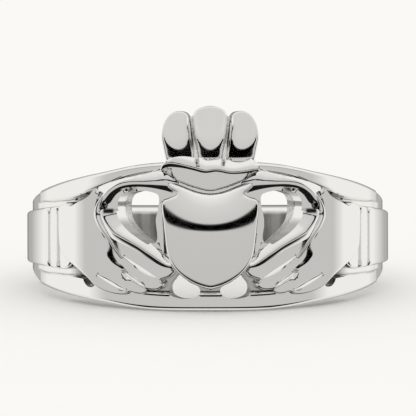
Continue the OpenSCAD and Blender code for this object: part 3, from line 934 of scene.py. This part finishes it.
# Painted shade: a near black patch in the gap over the thumb's root.
paintedGapShade = product(tree, [atFront, *between(tree, aside, silverLook["gapAside"]),
                       *between(tree, split.outputs[2], silverLook["gapUp"])])
grain = noise(tree, upright.outputs[0], *silverLook["grain"])
speckle = mathNode(tree, "MULTIPLY", cast, mapRange(tree, grain, *silverLook["grainShare"]))
castColour = mixColour(tree, speckle, silverLook["polished"], silverLook["cast"])
# Painted shade in the deepest places.
castColour = mixColour(tree, roughShade, castColour, silverLook["roughShade"])
# The step and the gap are painted near black, as a reflection and as shade.
castColour = mixColour(tree, mathNode(tree, "MAXIMUM", paintedStepReflection, paintedGapShade), castColour, silverLook["paintedNearBlack"])
cloudy = noise(tree, upright.outputs[0], *silverLook["clouds"])
streakWay = tree.nodes.new("ShaderNodeMapping")
streakWay.inputs["Scale"].default_value = silverLook["streakStretch"]
tree.links.new(upright.outputs[0], streakWay.inputs["Vector"])
streaks = noise(tree, streakWay.outputs[0], *silverLook["streaks"])
# Inside the hole the metal is streaked as brushed, and painted darker as shade.
insideShadedStreaks = mixColour(tree, mapRange(tree, streaks, *silverLook["streakRange"]), silverLook["insideDark"],
                         silverLook["insideLight"])
tree.links.new(mixColour(tree, inside, castColour, insideShadedStreaks), shader.inputs["Base Color"])
polish = mapRange(tree, cloudy, *silverLook["cloudRange"], *silverLook["roughness"])
grainy = mathNode(tree, "MAXIMUM", cast, roughShade)
roughness = mathNode(tree, "MULTIPLY_ADD", grainy, silverLook["castRoughness"], polish)
roughness = mathNode(tree, "MULTIPLY_ADD", inside, silverLook["insideRoughness"], roughness)
tree.links.new(roughness, shader.inputs["Roughness"])
bump = tree.nodes.new("ShaderNodeBump")
bump.inputs["Distance"].default_value = silverLook["grainHeight"] * metre
tree.links.new(mathNode(tree, "MULTIPLY", grain, cast), bump.inputs["Height"])
tree.links.new(bump.outputs[0], shader.inputs["Normal"])
finished.materials.clear()
finished.materials.append(silver)
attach(ring, "root")
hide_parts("ring")

# Floor: it gives a little light of its own, so that its shadows stay pale
evenLight = 1.062
floorLook = {"colour": (0.9, 0.891, 0.86), "ownLight": 0.1, "size": 1.5}
floorMesh = bmesh.new()
bmesh.ops.create_grid(floorMesh, x_segments=1, y_segments=1, size=floorLook["size"])
floor = makeObject(floorMesh, "floor")
floor.data.transform(Matrix.Translation((0, 0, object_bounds()[0][2])))
floor.visible_glossy = False
paper = bpy.data.materials.new("paleFloor")
paper.use_nodes = True
paperShader = paper.node_tree.nodes["Principled BSDF"]
paperColour = [c * (1 - floorLook["ownLight"]) for c in floorLook["colour"]]
paperShader.inputs["Base Color"].default_value = (*paperColour, 1)
paperShader.inputs["Roughness"].default_value = 1
paperShader.inputs["Specular IOR Level"].default_value = 0
paperShader.inputs["Emission Color"].default_value = (*floorLook["colour"], 1)
paperShader.inputs["Emission Strength"].default_value = floorLook["ownLight"] * evenLight
floor.data.materials.append(paper)

# Studio: what the metal mirrors, by direction. Rows of (degrees over the horizon, grey)
studio = {
    "background": (0.956, 0.947, 0.913),
    "tint": (1, 0.99, 0.965),
    "front": [(-90, 0.95), (-68, 0.9), (-60, 0.01), (-15, 0.01), (-7, 0.6), (12, 0.63), (13.5, 0.0),
              (21, 0.0), (22.5, 0.66), (42, 0.74), (56, 0.95), (90, 0.97)],
    "side": [(-90, 0.8), (-40, 0.86), (-10, 0.97), (90, 0.97)],
    "back": [(-90, 0.7), (-30, 0.5), (0, 0.46), (40, 0.5), (90, 0.7)],
    "behind": [(-90, 0.6), (-30, 0.25), (0, 0.16), (40, 0.3), (90, 0.7)],
    "frontToSide": (70, 84),
    "sideToBack": (128, 150),
    "backToBehind": (160, 174),
}
world = bpy.data.worlds.new("studio")
world.use_nodes = True
bpy.context.scene.world = world
tree = world.node_tree
tree.nodes.clear()


def greyRamp(value, stops):
    node = tree.nodes.new("ShaderNodeValToRGB")
    tree.links.new(mapRange(tree, value, -90, 90), node.inputs[0])
    ramp = node.color_ramp
    while len(ramp.elements) < len(stops):
        ramp.elements.new(0.5)
    for element, (elevation, grey) in zip(ramp.elements, stops):
        element.position = (elevation + 90) / 180
        element.color = (*[grey * share for share in studio["tint"]], 1)
    return node.outputs[0]


def backdrop(colour, strength=1.0):
    node = tree.nodes.new("ShaderNodeBackground")
    node.inputs["Strength"].default_value = strength
    if isinstance(colour, tuple):
        node.inputs["Color"].default_value = (*colour, 1)
    else:
        tree.links.new(colour, node.inputs["Color"])
    return node.outputs[0]


def choose(share, a, b):
    node = tree.nodes.new("ShaderNodeMixShader")
    for socket, value in zip(node.inputs, (share, a, b)):
        tree.links.new(value, socket)
    return node.outputs[0]


split = tree.nodes.new("ShaderNodeSeparateXYZ")
tree.links.new(tree.nodes.new("ShaderNodeTexCoord").outputs["Generated"], split.inputs[0])
elevation = mathNode(tree, "DEGREES", mathNode(tree, "ARCSINE", split.outputs["Z"]))
turned = mathNode(tree, "ARCTAN2", split.outputs["X"], mathNode(tree, "MULTIPLY", split.outputs["Y"], -1))
aside = mathNode(tree, "ABSOLUTE", mathNode(tree, "DEGREES", turned))
frontAndSide = mixColour(tree, mapRange(tree, aside, *studio["frontToSide"]),
                         greyRamp(elevation, studio["front"]), greyRamp(elevation, studio["side"]))
allRound = mixColour(tree, mapRange(tree, aside, *studio["sideToBack"]), frontAndSide,
                     greyRamp(elevation, studio["back"]))
allRound = mixColour(tree, mapRange(tree, aside, *studio["backToBehind"]), allRound,
                     greyRamp(elevation, studio["behind"]))
path = tree.nodes.new("ShaderNodeLightPath")
lit = choose(path.outputs["Is Glossy Ray"], backdrop((1, 1, 1), evenLight), backdrop(allRound))
seen = choose(path.outputs["Is Camera Ray"], lit, backdrop(studio["background"]))
tree.links.new(seen, tree.nodes.new("ShaderNodeOutputWorld").inputs[0])
world.cycles.sampling_method = "NONE"
bpy.context.scene.view_settings.view_transform = "Standard"
print("stage: studio")

# Camera
view = {
    "distance": 250,
    "width": 23.75,
    "azimuth": -0.8,
    "target": (0.02, 0, 1.48),
    "sensor": 36,
    "clip": (0.01, 10),
}
camera = bpy.data.objects.new("camera", bpy.data.cameras.new("camera"))
bpy.context.collection.objects.link(camera)
target = toFrame @ Vector(view["target"])
turn, rise = math.radians(view["azimuth"]), ringLean
forward = Vector((-math.sin(turn) * math.cos(rise), math.cos(turn) * math.cos(rise), -math.sin(rise)))
camera.location = target - forward * view["distance"] * metre
camera.rotation_euler = forward.to_track_quat("-Z", "Y").to_euler()
camera.data.sensor_width = view["sensor"]
camera.data.lens = view["sensor"] * view["distance"] / view["width"]
camera.data.clip_start, camera.data.clip_end = view["clip"]
bpy.context.scene.camera = camera
print("stage: camera")
